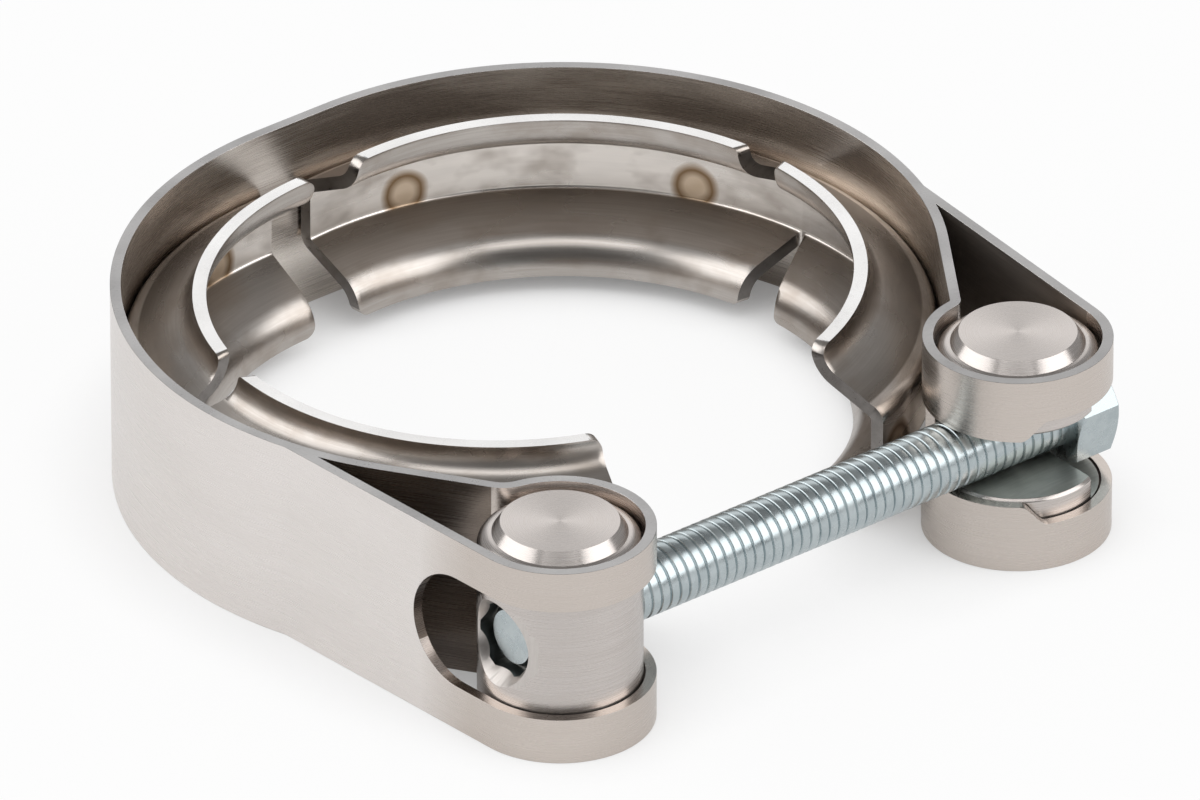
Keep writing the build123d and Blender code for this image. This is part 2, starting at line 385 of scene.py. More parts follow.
def retainerSteel(look):
    metal, tree, shader = newMetal(look)
    angle, radius, height = roundPlace(tree, ringCentre.x * mm, 0.0)
    place = joinPlace(tree, times(tree, angle, look["baseRadius"]), radius, height)
    grain = noise(tree, place, *look["grain"])
    clouds = noise(tree, place, *look["clouds"])
    colour = toned(tree, weighted(tree, grain, clouds, look["cloudShare"]), look)

    # Painted light makes the base paler, painted shade darkens the flanks beside the bend, and stains lie
    # over both
    onBase = spread(tree, radius, look["baseReach"])
    offBase = calc(tree, "SUBTRACT", 1.0, onBase)
    shadedFlank = times(tree, spread(tree, radius, look["flankReach"]), offBase)
    colour = blendColour(tree, shadedFlank, colour, look["flankShade"], "MULTIPLY")
    litBase = times(tree, onBase, spread(tree, clouds, look["litReach"], look["litShare"]))
    colour = blendColour(tree, litBase, colour, look["baseLitTint"])
    blotches = noise(tree, place, *look["blotches"])
    stained = spread(tree, blotches, look["stainReach"], look["stainShare"])
    colour = blendColour(tree, stained, colour, look["stain"])

    # Brown rings round straw where the segment is spot-welded to the strap, on the inside of its base
    fromWeld = calc(tree, "SUBTRACT", angle, look["weldAngle"])
    fromNearest = calc(tree, "WRAP", fromWeld, look["weldStep"] / 2, -look["weldStep"] / 2)
    across = times(tree, fromNearest, look["baseRadius"])
    rise = calc(tree, "SUBTRACT", height, look["weldHeight"])
    wander = times(tree, calc(tree, "SUBTRACT", clouds, 0.5), look["weldWander"])
    away = calc(tree, "ADD", lengthOf(tree, across, rise), wander)
    offRing = calc(tree, "ABSOLUTE", calc(tree, "SUBTRACT", away, look["weldRadius"]))
    ring = times(tree, spread(tree, offRing, (look["weldWidth"], 0.0), look["brownShare"]), onBase)
    strawReach = (look["weldRadius"] + look["weldWidth"], look["weldRadius"])
    inside = times(tree, spread(tree, away, strawReach, look["strawShare"]), onBase)
    colour = blendColour(tree, inside, colour, look["weldStraw"])
    colour = blendColour(tree, ring, colour, look["weldBrown"])
    coat(tree, shader, look, colour, clouds, grain)
    plug(tree, acrossGrain(tree, ringCentre.x * mm, 0.0), shader.inputs["Tangent"])
    return metal


# Trunnions: turned bar, with fine rings round their axes on every face
turnedSteelLook = {
    "name": "turnedSteel",
    "colour": (0.67, 0.625, 0.60, 1),
    "shade": (0.56, 0.515, 0.485, 1),
    "contrast": (0.36, 0.64),
    "roughness": 0.27,
    "roughSwing": (-0.05, 0.05),
    "wearReach": (0.35, 0.65),
    "anisotropy": 0.75,
    "rings": ((60.0, 9000.0, 9000.0), 3.0, 0.6),
    "fineRings": ((150.0, 26000.0, 20000.0), 2.0),
    "fineShare": 0.45,
    "bumpDepth": 0.004 * mm,
    "bumpStrength": 0.5,
}


def turnedSteel(look):
    metal, tree, shader = newMetal(look)
    angle, radius, height = roundPlace(tree, rightAxis.x, rightAxis.y)
    place = joinPlace(tree, times(tree, angle, clamp["trunnionRadius"] * mm), radius, height)
    rings = noise(tree, place, *look["rings"])
    fine = noise(tree, place, *look["fineRings"])
    lines = weighted(tree, rings, fine, look["fineShare"])
    coat(tree, shader, look, toned(tree, lines, look), lines, lines)
    plug(tree, acrossGrain(tree, rightAxis.x, rightAxis.y), shader.inputs["Tangent"])
    return metal


# Slot: milled, and duller than the turned faces
slotSteelLook = {
    "name": "slotSteel",
    "wornBy": "clouds",
    "colour": (0.62, 0.62, 0.58, 1),
    "shade": (0.48, 0.48, 0.445, 1),
    "contrast": (0.35, 0.65),
    "roughness": 0.42,
    "roughSwing": (-0.06, 0.08),
    "wearReach": (0.3, 0.7),
    "marks": ((300.0, 3500.0, 300.0), 3.0, 0.6),
    "clouds": ((350.0, 350.0, 350.0), 3.0),
    "cloudShare": 0.5,
    "bumpDepth": 0.004 * mm,
    "bumpStrength": 0.4,
}
# Mouth of the threaded bore: paler and smoother than the slot, with painted shade down in its socket
mouthSteelLook = dict(slotSteelLook, name="mouthSteel", colour=(0.68, 0.64, 0.61, 1),
                      shade=(0.60, 0.56, 0.53, 1), roughness=0.38)
# Painted shade: a dark copy of the milled finish, for the socket's walls and the bolt's tip
socketShadeLook = dict(slotSteelLook, name="socketShade", colour=(0.22, 0.24, 0.235, 1),
                       shade=(0.15, 0.165, 0.16, 1))


# Bolt: bright zinc plate with a cool tint and a few small specks
zincLook = {
    "name": "zincPlate",
    "colour": (0.56, 0.62, 0.635, 1),
    "shade": (0.47, 0.53, 0.55, 1),
    "contrast": (0.35, 0.65),
    "roughness": 0.24,
    "roughSwing": (-0.04, 0.1),
    "wearReach": (0.3, 0.7),
    "clouds": ((500.0, 500.0, 500.0), 4.0, 0.6),
    "fine": ((4000.0, 4000.0, 4000.0), 2.0),
    "bumpDepth": 0.004 * mm,
    "bumpStrength": 0.3,
    "speck": (0.20, 0.15, 0.11, 1),
    "speckScale": (420.0, 420.0, 420.0),
    "speckFray": 0.12,
    "speckReach": (0.16, 0.1),
    "speckShare": (0.0, 0.8),
    "patches": ((160.0, 160.0, 160.0), 1.0),
    "patchReach": (0.56, 0.6),
}


def zincPlate(look):
    metal, tree, shader = newMetal(look)
    place = objectPlace(tree)
    clouds = noise(tree, place, *look["clouds"])
    fine = noise(tree, place, *look["fine"])
    spots = addNode(tree, "ShaderNodeTexVoronoi")
    plug(tree, vectorCalc(tree, "MULTIPLY", place, look["speckScale"]), spots.inputs["Vector"])
    spots.inputs["Scale"].default_value = 1.0
    frayed = calc(tree, "ADD", spots.outputs["Distance"], times(tree, fine, look["speckFray"]))
    speck = spread(tree, frayed, look["speckReach"], look["speckShare"])
    inPatch = spread(tree, noise(tree, place, *look["patches"]), look["patchReach"])
    colour = blendColour(tree, times(tree, speck, inPatch), toned(tree, clouds, look), look["speck"])
    coat(tree, shader, look, colour, clouds, fine)
    return metal


finishes = {
    "strap": strapSteel(strapSteelLook),
    "inside": strapSteel(paintedInsideLook),
    "hollowShade": strapSteel(shadedHollowLook),
    "facing": strapSteel(litFacingLook),
    "edge": markedSteel(cutEdgeLook),
    "end": markedSteel(shadedEndLook),
    "paintedDarkLine": markedSteel(paintedDarkLineLook),
    "paintedHighlight": markedSteel(paintedHighlightLook),
    "retainer": retainerSteel(retainerSteelLook),
    "trunnion": turnedSteel(turnedSteelLook),
    "slot": markedSteel(slotSteelLook),
    "mouth": markedSteel(mouthSteelLook),
    "socket": markedSteel(socketShadeLook),
    "bolt": zincPlate(zincLook),
}
print("stage: materials")


# Modelling by hand: outlines are in mm, and a line stays in edit mode until its mesh is closed
def turned(angle, axis):
    return Matrix.Rotation(math.radians(angle), 4, axis)


def onlySelect(piece):
    bpy.ops.object.select_all(action="DESELECT")
    piece.select_set(True)
    bpy.context.view_layer.objects.active = piece


def editWhole(piece):
    onlySelect(piece)
    bpy.ops.object.mode_set(mode="EDIT")
    bpy.ops.mesh.select_all(action="SELECT")


def drawLine(name, points):
    # A chain of edges through the points
    places = [Vector(point) * mm for point in points]
    bpy.ops.object.select_all(action="DESELECT")
    bpy.ops.mesh.primitive_plane_add(size=mm)
    piece = bpy.context.object
    piece.name = name
    piece.data.name = name
    editWhole(piece)
    bpy.ops.mesh.merge(type="CENTER")
    bpy.ops.transform.translate(value=places[0])
    for before, after in zip(places, places[1:]):
        bpy.ops.mesh.extrude_region_move(TRANSFORM_OT_translate={"value": after - before})
    return piece


def raiseAll(height):
    # This and the next three act in edit mode, on all of the mesh
    bpy.ops.mesh.select_all(action="SELECT")
    bpy.ops.mesh.extrude_region_move(TRANSFORM_OT_translate={"value": (0, 0, height * mm)})


def spinAll(steps, angle, direction):
    bpy.ops.mesh.select_all(action="SELECT")
    bpy.ops.mesh.spin(steps=steps, angle=angle, center=(0, 0, 0), axis=(0, 0, direction))


def mergeDoubles(distance):
    bpy.ops.mesh.select_all(action="SELECT")
    bpy.ops.mesh.remove_doubles(threshold=distance * mm)
    bpy.ops.mesh.select_all(action="SELECT")


def closeMesh():
    # Merges doubles, turns all faces outwards and leaves edit mode
    mergeDoubles(doubled)
    bpy.ops.mesh.normals_make_consistent(inside=False)
    bpy.ops.object.mode_set(mode="OBJECT")


def facesOut(piece):
    # For a mesh that a mirrored matrix has turned inside out
    editWhole(piece)
    bpy.ops.mesh.normals_make_consistent(inside=False)
    bpy.ops.object.mode_set(mode="OBJECT")


def lathe(name, outline, steps):
    # A solid turned about Z from an outline of radii and heights, drawn from the axis to the axis
    piece = drawLine(name, [(radius, 0, height) for radius, height in outline])
    spinAll(steps, math.tau, 1)
    closeMesh()
    return piece


def prism(name, outline, low, high):
    # A closed outline, filled and raised from one height to the other
    piece = drawLine(name, [(x, y, low) for x, y in outline])
    bpy.ops.mesh.select_all(action="SELECT")
    bpy.ops.mesh.edge_face_add()
    raiseAll(high - low)
    closeMesh()
    return piece


def finishWith(piece, kind, **settings):
    onlySelect(piece)
    modifier = piece.modifiers.new(kind.lower(), kind)
    for key, value in settings.items():
        setattr(modifier, key, value)
    bpy.ops.object.modifier_apply(modifier=modifier.name)


def combine(piece, other, operation, **settings):
    finishWith(piece, "BOOLEAN", object=other, operation=operation, solver="EXACT", **settings)
    bpy.data.objects.remove(other)


def thicken(piece, thickness):
    finishWith(piece, "SOLIDIFY", thickness=thickness * mm, offset=0, use_even_offset=True)


def softenEdges(piece, look):
    finishWith(piece, "BEVEL", width=look["edgeRound"] * mm, segments=look["edgeSegments"],
               limit_method="ANGLE", angle_limit=math.radians(look["edgeAngle"]), use_clamp_overlap=True)


def placePiece(piece, matrix):
    piece.matrix_world = matrix
    onlySelect(piece)
    bpy.ops.object.transform_apply(location=True, rotation=True, scale=True)


def dressFaces(piece, finish, belongs):
    # Gives another finish to the faces that a test picks by their centre in mm and their normal
    piece.data.materials.append(finish)
    index = len(piece.data.materials) - 1
    for face in piece.data.polygons:
        if belongs(face.center / mm, face.normal):
            face.material_index = index


def foldSides(centre, normal):
    # A face's place and direction in plan, with the left side of the clamp folded onto the right
    place = Vector((abs(centre.x), centre.y))
    facing = Vector((math.copysign(1, centre.x) * normal.x, normal.y))
    return place, facing


def handOver(piece, body, node, finish, smoothAngle=35):
    onlySelect(piece)
    bpy.ops.object.shade_smooth_by_angle(angle=math.radians(smoothAngle))
    finishWith(piece, "WEIGHTED_NORMAL", keep_sharp=True)
    piece.data.materials.clear()
    piece.data.materials.append(finish)
    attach(piece, body)
    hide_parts(node)
    bpy.ops.object.select_all(action="DESELECT")
    print("stage:", piece.name, len(piece.data.polygons), "faces")


def polar(angle, radius=1.0):
    return Vector((math.cos(math.radians(angle)), math.sin(math.radians(angle)))) * radius


def angleOf(line):
    return math.degrees(math.atan2(line.y, line.x))


def arcPoints(centre, radius, start, end, step):
    count = max(2, math.ceil(abs(end - start) / step))
    return [centre + polar(start + (end - start) * i / count, radius) for i in range(count + 1)]


def roundedPath(corners, radii, step):
    # A flat path through the corners, each one rounded to its radius
    path = [corners[0]]
    for before, corner, after, radius in zip(corners, corners[1:], corners[2:], radii):
        backwards = (before - corner).normalized()
        forwards = (after - corner).normalized()
        half = backwards.angle(forwards) / 2
        centre = corner + (backwards + forwards).normalized() * radius / math.sin(half)
        start = angleOf(corner + backwards * radius / math.tan(half) - centre)
        end = angleOf(corner + forwards * radius / math.tan(half) - centre)
        end = start + (end - start + 180) % 360 - 180
        path += arcPoints(centre, radius, start, end, step)
    return path + [corners[-1]]


def withoutDoubles(path):
    kept = path[:1]
    for point in path[1:]:
        if (point - kept[-1]).length > 2 * touching:
            kept.append(point)
    return kept


# Bolt: rolled thread up to a chamfered hexagon head
boltLook = {
    "radius": 4.0,
    "length": 79.2,
    "pitch": 1.375,
    "threadDepth": 0.34,
    "threadSteps": 56,
    "spareTurns": 2,
    # Half a groove: shares of the pitch and of the thread's depth, from the bottom to the crest
    "groove": ((0.0, 1.0), (0.03, 0.93), (0.07, 0.6), (0.105, 0.24), (0.15, 0.06),
               (0.26, 0.015), (0.42, 0.0)),
    "tipRadius": 3.25,
    "tipChamfer": 1.3,
    "tipNormal": -0.93,
    "headFlats": 11.4,
    "headHeight": 6.4,
    "headTurn": 12.0,
    "headFaceRadius": 5.1,
    "headSeatRadius": 5.6,
    "headChamfer": 27.0,
    "headDome": 0.15,
    "domeSteps": 6,
    "turnSteps": 96,
    "headSteps": 120,
    "edgeRound": 0.12,
    "edgeSegments": 2,
    "edgeAngle": 22,
}


def makeThread(look):
    depth = look["threadDepth"]
    pitch = look["pitch"]
    turns = math.ceil(look["length"] / pitch) + 2 * look["spareTurns"]
    start = -look["length"] - look["spareTurns"] * pitch
    profile = look["groove"] + tuple((1 - share, cut) for share, cut in reversed(look["groove"]))
    thread = drawLine("boltThread", [(look["radius"] - cut * depth, 0, start + share * pitch)
                                     for share, cut in profile])
    bpy.ops.object.mode_set(mode="OBJECT")
    finishWith(thread, "SCREW", axis="Z", angle=math.tau, screw_offset=pitch * mm, iterations=turns,
               steps=look["threadSteps"], render_steps=look["threadSteps"], use_merge_vertices=False)
    editWhole(thread)
    mergeDoubles(2 * doubled)
    bpy.ops.mesh.fill_holes(sides=0)
    closeMesh()
    return thread


def makeHead(look):
    # A hexagon inside a turned envelope, which chamfers its corners and domes its face
    apothem = look["headFlats"] / 2
    corner = apothem / math.cos(math.radians(30))
    slope = math.tan(math.radians(look["headChamfer"]))
    faceRim = look["headHeight"] - look["headDome"]
    sideEnd = faceRim - (corner - look["headFaceRadius"]) * slope
    seatRim = (corner - look["headSeatRadius"]) * slope
    beyond = corner + touching
    outline = [(0, 0), (look["headSeatRadius"], 0), (beyond, seatRim), (beyond, sideEnd)]
    for i in range(look["domeSteps"] + 1):
        share = 1 - i / look["domeSteps"]
        outline.append((look["headFaceRadius"] * share, faceRim + look["headDome"] * (1 - share ** 2)))
    envelope = lathe("headEnvelope", outline, look["headSteps"])
    bpy.ops.mesh.primitive_cylinder_add(vertices=6, radius=corner * mm, depth=2 * look["headHeight"] * mm,
                                        rotation=(0, 0, math.radians(90)))
    head = bpy.context.object
    head.name = "bolt_visual"
    bpy.ops.object.transform_apply(rotation=True)
    combine(head, envelope, "INTERSECT")
    softenEdges(head, look)
    return head


def makeBolt(look):
    reach = look["radius"] + near
    tip = -look["length"]
    shankEnd = look["headHeight"] / 2
    blank = lathe("boltBlank", [(0, shankEnd), (reach, shankEnd), (reach, tip + look["tipChamfer"]),
                                (look["tipRadius"], tip), (0, tip)], look["turnSteps"])
    thread = makeThread(look)
    combine(thread, blank, "INTERSECT")
    bolt = makeHead(look)
    combine(bolt, thread, "UNION")
    low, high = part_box("bolt")
    seat = Vector((high.x - look["headHeight"] * mm, boltMiddle.y, boltMiddle.z))
    placePiece(bolt, Matrix.Translation(seat) @ turned(look["headTurn"], "X") @ turned(90, "Y"))
    handOver(bolt, "bolt", "bolt", finishes["bolt"])

    def onTipChamfer(centre, normal):
        return centre.x < low.x / mm + look["tipChamfer"] and normal.x > look["tipNormal"]

    # Painted shade on the tip's chamfer, which sits down in the socket
    dressFaces(bolt, finishes["socket"], onTipChamfer)


makeBolt(boltLook)


# Trunnions: turned barrels with stepped ends, one slotted for the bolt and one bored for its thread
trunnionLook = {
    "radius": clamp["trunnionRadius"],
    "height": 25.45,
    "topFlat": 6.85,
    "ledge": 7.8,
    "ledgeDepth": 1.4,
    "shoulderSteps": 10,
    "turnSteps": 160,
    "wallRows": 28,
    "edgeRound": 0.13,
    "edgeSegments": 2,
    "edgeAngle": 24,
    "smoothAngle": 20,
    "slotHeight": 8.5,
    "slotBack": 5.0,
    "slotChamfer": 0.35,
    "slotNormal": 0.95,
    "pocketStart": 3.9,
    "pocketHeight": 13.96,
    "boreRadius": 4.05,
    "boreSteps": 96,
    "exitChamfer": 0.5,
    "mouthRadius": 5.6,
    "mouthDepth": 1.8,
    "mouthSteps": 120,
    "mouthNormal": -0.95,
    "hexFlats": 8.2,
    "hexDepth": 1.6,
    "hexOverlap": 0.4,
    "socketNormal": 0.2,
    "scallopDepth": 0.06,
    "cutterOver": 1.0,
}


def makeBarrel(look, name):
    half = look["height"] / 2
    ledgeHeight = half - look["ledgeDepth"]
    shoulder = look["radius"] - look["ledge"]
    upper = [Vector((0, half)), Vector((look["topFlat"], half)), Vector((look["ledge"], ledgeHeight))]
    centre = Vector((look["ledge"], ledgeHeight - shoulder))
    upper += arcPoints(centre, shoulder, 90, 0, 90 / look["shoulderSteps"])
    lower = [Vector((point.x, -point.y)) for point in reversed(upper)]
    wall = upper[-1].y
    rows = look["wallRows"]
    between = [Vector((look["radius"], wall - 2 * wall * i / rows)) for i in range(1, rows)]
    return lathe(name, withoutDoubles(upper + between + lower), look["turnSteps"])


def addBox(name, low, high):
    # Between two corners in mm
    low = Vector(low) * mm
    high = Vector(high) * mm
    bpy.ops.object.select_all(action="DESELECT")
    bpy.ops.mesh.primitive_cube_add(size=1, location=(low + high) / 2)
    box = bpy.context.object
    box.name = name
    box.scale = high - low
    bpy.ops.object.transform_apply(location=True, scale=True)
    return box


def finishTrunnion(piece, look, axis, node):
    softenEdges(piece, look)
    placePiece(piece, Matrix.Translation(Vector((axis.x, axis.y, boltMiddle.z))))
    handOver(piece, node, node, finishes["trunnion"], look["smoothAngle"])


def chamferSlot(piece, look):
    # The slot's round edges, where it runs out through the barrel's wall
    def onSlotEdge(place):
        onPlane = abs(abs(place.z) - look["slotHeight"] / 2) < touching
        return onPlane and place.xy.length > look["radius"] - near and place.y < look["slotBack"] - near

    editWhole(piece)
    bpy.ops.mesh.select_all(action="DESELECT")
    bpy.ops.object.mode_set(mode="OBJECT")
    verts = piece.data.vertices
    for edge in piece.data.edges:
        edge.select = all(onSlotEdge(verts[index].co / mm) for index in edge.vertices)
    bpy.ops.object.mode_set(mode="EDIT")
    bpy.ops.mesh.select_mode(type="EDGE")
    bpy.ops.mesh.bevel(offset=look["slotChamfer"] * mm, segments=1, affect="EDGES")
    bpy.ops.mesh.select_mode(type="VERT")
    bpy.ops.object.mode_set(mode="OBJECT")


def makeRightTrunnion(look):
    piece = makeBarrel(look, "right_trunnion_visual")
    far = 2 * look["radius"]
    halfSlot = look["slotHeight"] / 2
    halfPocket = look["pocketHeight"] / 2
    slot = addBox("slotCutter", (-far, -far, -halfSlot), (far, look["slotBack"], halfSlot))
    combine(piece, slot, "DIFFERENCE")
    chamferSlot(piece, look)
    pocket = addBox("pocketCutter", (look["pocketStart"], -far, -halfPocket), (far, far, halfPocket))
    combine(piece, pocket, "DIFFERENCE")
    finishTrunnion(piece, look, rightAxis, "right_trunnion")

    def inSlot(centre, normal):
        fromBolt = abs(centre.z - clamp["boltHeight"])
        return abs(normal.z) > look["slotNormal"] and fromBolt < halfPocket + 2 * near

    dressFaces(piece, finishes["slot"], inSlot)


def makeLeftTrunnion(look):
    # The cutters are turned about Z and then laid along X, with the mouth on the outer side
    piece = makeBarrel(look, "left_trunnion_visual")
    radius = look["radius"]
    over = look["cutterOver"]
    bore = look["boreRadius"]
    mouthRadius = look["mouthRadius"]
    floor = look["mouthDepth"] - radius
    exitStart = radius - look["exitChamfer"]
    exitEnd = bore + look["exitChamfer"] + over
    boreCutter = lathe("boreCutter", [(0, floor), (bore, floor), (bore, exitStart), (exitEnd, radius + over),
                                      (0, radius + over)], look["boreSteps"])

    # The mouth's cone just cuts the socket's flats and leaves a scallop in each
    flat = look["hexFlats"] / 2
    corner = flat / math.cos(math.radians(30))
    slope = (mouthRadius - corner) / look["mouthDepth"]
    scallop = floor + look["scallopDepth"]
    mouth = lathe("mouthCutter", [(0, -radius - over), (mouthRadius + slope * over, -radius - over),
                                  (flat, scallop), (0, scallop)], look["mouthSteps"])
    bpy.ops.object.select_all(action="DESELECT")
    depth = look["hexDepth"] + look["hexOverlap"]
    bpy.ops.mesh.primitive_cylinder_add(vertices=6, radius=corner * mm, depth=depth * mm,
                                        location=(0, 0, (floor + look["hexDepth"] - depth / 2) * mm))
    socket = bpy.context.object
    for cutter in (boreCutter, mouth, socket):
        placePiece(cutter, turned(90, "Y") @ cutter.matrix_world)
        combine(piece, cutter, "DIFFERENCE")
    finishTrunnion(piece, look, leftAxis, "left_trunnion")

    def inMouth(centre, normal):
        offset = centre - leftAxis / mm
        fromBore = Vector((offset.y, centre.z - clamp["boltHeight"])).length
        inReach = offset.x < -bore and fromBore < mouthRadius + 2 * near
        return inReach and normal.x > look["mouthNormal"]

    def inSocket(centre, normal):
        return inMouth(centre, normal) and abs(normal.x) < look["socketNormal"]

    dressFaces(piece, finishes["mouth"], inMouth)
    # Painted shade on the socket's walls
    dressFaces(piece, finishes["socket"], inSocket)


makeRightTrunnion(trunnionLook)
makeLeftTrunnion(trunnionLook)


# Retainers: sheet rolled to a flat base, two flanks and two lips, with one notch in each segment
retainerLook = {
    "thickness": 1.6,
    "base": 42.57,
    "lip": 34.4,
    "middle": 13.0,
    "halfBase": 3.6,
    "lipStart": 7.7,
    "lipEnd": 10.5,
    "baseBend": 1.3,
    "lipBend": 4.0,
    "bendStep": 7.0,
    "frontEnd": -71.0,
    "spinStep": 1.25,
    "notchMouth": 5.2,
    "notchTip": 1.1,
    "notchStep": 15,
    "endRound": 1.5,
    "notchRound": 0.7,
    "cornerStep": 9,
    "cutterOver": 0.6,
    "cutterHalf": 2.5,
    "edgeRound": 0.2,
    "edgeSegments": 2,
    "edgeAngle": 40,
    "rimNormal": 0.98,
    "endNormal": 0.93,
    "sides": {
        "right": {"backEdge": 0.4, "notch": 9.0},
        "left": {"backEdge": 5.1, "notch": 10.5},
    },
}


def cornerCutter(look, angle, across, turn, towards, top, radius):
    # Rounds one corner of a lip: towards tells which way the sheet lies from its end
    over = look["cutterOver"]
    half = look["cutterHalf"]
    outline = [Vector((-over, radius)), Vector((-over, -over)), Vector((radius, -over))]
    outline += arcPoints(Vector((radius, radius)), radius, -90, -180, look["cornerStep"])
    cutter = prism("cornerCutter", withoutDoubles(outline), -half, half)
    lip = look["lip"]
    upright = 1 if top else -1
    shape = Matrix(((0, 0, 1, lip),
                    (towards, 0, 0, across),
                    (0, -upright, 0, upright * look["lipEnd"]),
                    (0, 0, 0, 1)))
    shape.translation *= mm
    pivot = Matrix.Translation(Vector((lip, across, 0)) * mm)
    placePiece(cutter, turned(angle, "Z") @ pivot @ turned(turn, "Z") @ pivot.inverted() @ shape)
    facesOut(cutter)
    return cutter


def rollSection(look, name, start, end):
    # The sheet's middle line in section, spun round the ring and thickened
    lip = look["lip"]
    base = look["base"]
    corners = [Vector(pair) for pair in (
        (lip, -look["lipEnd"]), (lip, -look["lipStart"]), (base, -look["halfBase"]),
        (base, look["halfBase"]), (lip, look["lipStart"]), (lip, look["lipEnd"]))]
    bends = (look["lipBend"], look["baseBend"], look["baseBend"], look["lipBend"])
    section = withoutDoubles(roundedPath(corners, bends, look["bendStep"]))
    flat = polar(start)
    piece = drawLine(name, [(flat.x * point.x, flat.y * point.x, point.y) for point in section])
    spinAll(math.ceil((end - start) / look["spinStep"]), math.radians(end - start), -1)
    closeMesh()
    thicken(piece, look["thickness"])
    return piece


def cutNotch(piece, look, angle):
    # From its mouth in both lips to its round tip at the base: gives the lean of its sides in degrees
    outside = look["lip"] - look["thickness"]
    tip = look["base"] - look["thickness"] / 2
    taper = (look["notchMouth"] - look["notchTip"]) / (tip - look["lip"])
    halfMouth = look["notchMouth"] / 2 + taper * look["thickness"] / 2
    halfTip = look["notchTip"] / 2
    outline = [Vector((outside, halfMouth)), Vector((outside, -halfMouth))]
    outline += arcPoints(Vector((tip - halfTip, 0)), halfTip, -90, 90, look["notchStep"])
    notch = prism("notchCutter", outline, -2 * look["lipEnd"], 2 * look["lipEnd"])
    placePiece(notch, turned(angle, "Z"))
    combine(piece, notch, "DIFFERENCE")
    return math.degrees(math.atan(taper / 2))


def makeRetainer(look, side, node):
    settings = look["sides"][side]
    start = look["frontEnd"]
    end = 90 + math.degrees(math.atan2(clamp["halfSpread"] - settings["backEdge"], look["base"]))
    piece = rollSection(look, node + "_visual", start, end)
    lean = cutNotch(piece, look, settings["notch"])
    halfMouth = look["notchMouth"] / 2
    cutters = []
    for top in (True, False):
        cutters.append(cornerCutter(look, start, 0, 0, 1, top, look["endRound"]))
        cutters.append(cornerCutter(look, end, 0, 0, -1, top, look["endRound"]))
        for towards in (1, -1):
            cutters.append(cornerCutter(look, settings["notch"], towards * halfMouth, -towards * lean,
                                        towards, top, look["notchRound"]))
    onlySelect(cutters[0])
    for cutter in cutters:
        cutter.select_set(True)
    bpy.ops.object.join()
    combine(piece, cutters[0], "DIFFERENCE")
    softenEdges(piece, look)
    placePiece(piece, Matrix.Translation(Vector((clamp["halfSpread"], 0, look["middle"])) * mm))
    if side == "left":
        placePiece(piece, Matrix.Diagonal((-1, 1, 1, 1)))
        facesOut(piece)
    handOver(piece, "band", node, finishes["retainer"])

    def onRim(centre, normal):
        fromEnd = abs(abs(centre.z - look["middle"]) - look["lipEnd"])
        return abs(normal.z) > look["rimNormal"] and fromEnd < near

    def onEnd(centre, normal):
        # Flat faces that face along the ring, at the ends and in the notch
        place, facing = foldSides(centre, normal)
        return abs((place - ringCentre).normalized().cross(facing)) > look["endNormal"]

    # Painted highlight along the lips' rims
    dressFaces(piece, finishes["paintedHighlight"], onRim)
    # Painted shade on the ends and in the notch
    dressFaces(piece, finishes["end"], onEnd)


for sideName in ("left", "right"):
    makeRetainer(retainerLook, sideName, sideName + "_retainer")


# Strap: one strip that runs round the ring, folds into a loop at each end and is welded to its own outside
strapLook = {
    "legOffset": 6.35,
    "loopMiddle": 10.375,
    "weldAngle": 18.2,
    "weldOverlap": 0.05,
    "weldDepth": 14.0,
    "necks": {"left": 4.0, "right": 1.3},
    "ringStep": 1.5,
    "bendStep": 4.0,
    "windows": {"left": (14.3, 14.3), "right": (13.704, 8.7)},  # Heights before and past the step
    "windowReach": 11.8,
    "windowEnd": -236.0,
    "windowStep": -119.0,
    "windowArcStep": 6,
    "stepLength": 3.2,
    "cutterThickness": 4.0,
    "sliverAngle": 0.5,
    "edgeRound": 0.22,
    "edgeSegments": 3,
    "edgeAngle": 40,
    "rimNormal": 0.98,
    "bevelNormal": 0.6,
    "wallNormal": 0.5,
    "insideOver": 0.3,
    "loopOver": 1.0,
}


def sidePath(look, axis, neck):
    # From the middle of the ring's back to the outer leg's end, seen along the ring's axis
    thickness = clamp["strapThickness"]
    ringMiddle = clamp["ringRadius"] - thickness / 2
    offset = look["legOffset"]
    loop = look["loopMiddle"]
    reach = axis - ringCentre
    legAngle = angleOf(reach) + math.degrees(math.acos((ringMiddle + offset) / reach.length))
    across = polar(legAngle)
    along = Vector((across.y, -across.x))
    run = math.sqrt((loop + neck) ** 2 - (offset + neck) ** 2)
    neckCentre = axis - across * (offset + neck) - along * run
    neckAngle = angleOf(neckCentre - axis)
    weld = ringCentre + polar(-look["weldAngle"], clamp["ringRadius"])
    reach = weld - axis
    loopOuter = loop + thickness / 2
    outerAngle = angleOf(reach) - math.degrees(math.acos(loopOuter / reach.length))
    outerRun = math.sqrt(reach.length ** 2 - loopOuter ** 2) + look["weldOverlap"]
    path = [Vector((0, ringMiddle))]
    path += arcPoints(ringCentre, ringMiddle, 90, legAngle, look["ringStep"])
    path += arcPoints(neckCentre, neck, legAngle, neckAngle - 180, look["bendStep"])
    path += arcPoints(axis, loop, neckAngle, 360 + outerAngle, look["bendStep"])
    path.append(path[-1] + polar(outerAngle + 90, outerRun))
    return withoutDoubles(path)


def windowSheet(look, axis, line, side):
    # The window's shape as a curved sheet, from the line of its upper edge: place in plan and half height
    flip = -1 if side == "left" else 1
    sheet = drawLine("windowCutter", [(flip * (axis.x + x), axis.y + y, clamp["boltHeight"] + half)
                                      for x, y, half in line])
    raiseAll(0)
    bpy.ops.transform.resize(value=(1, 1, -1), center_override=(0, 0, boltMiddle.z))
    closeMesh()
    thicken(sheet, look["cutterThickness"])
    facesOut(sheet)
    return sheet


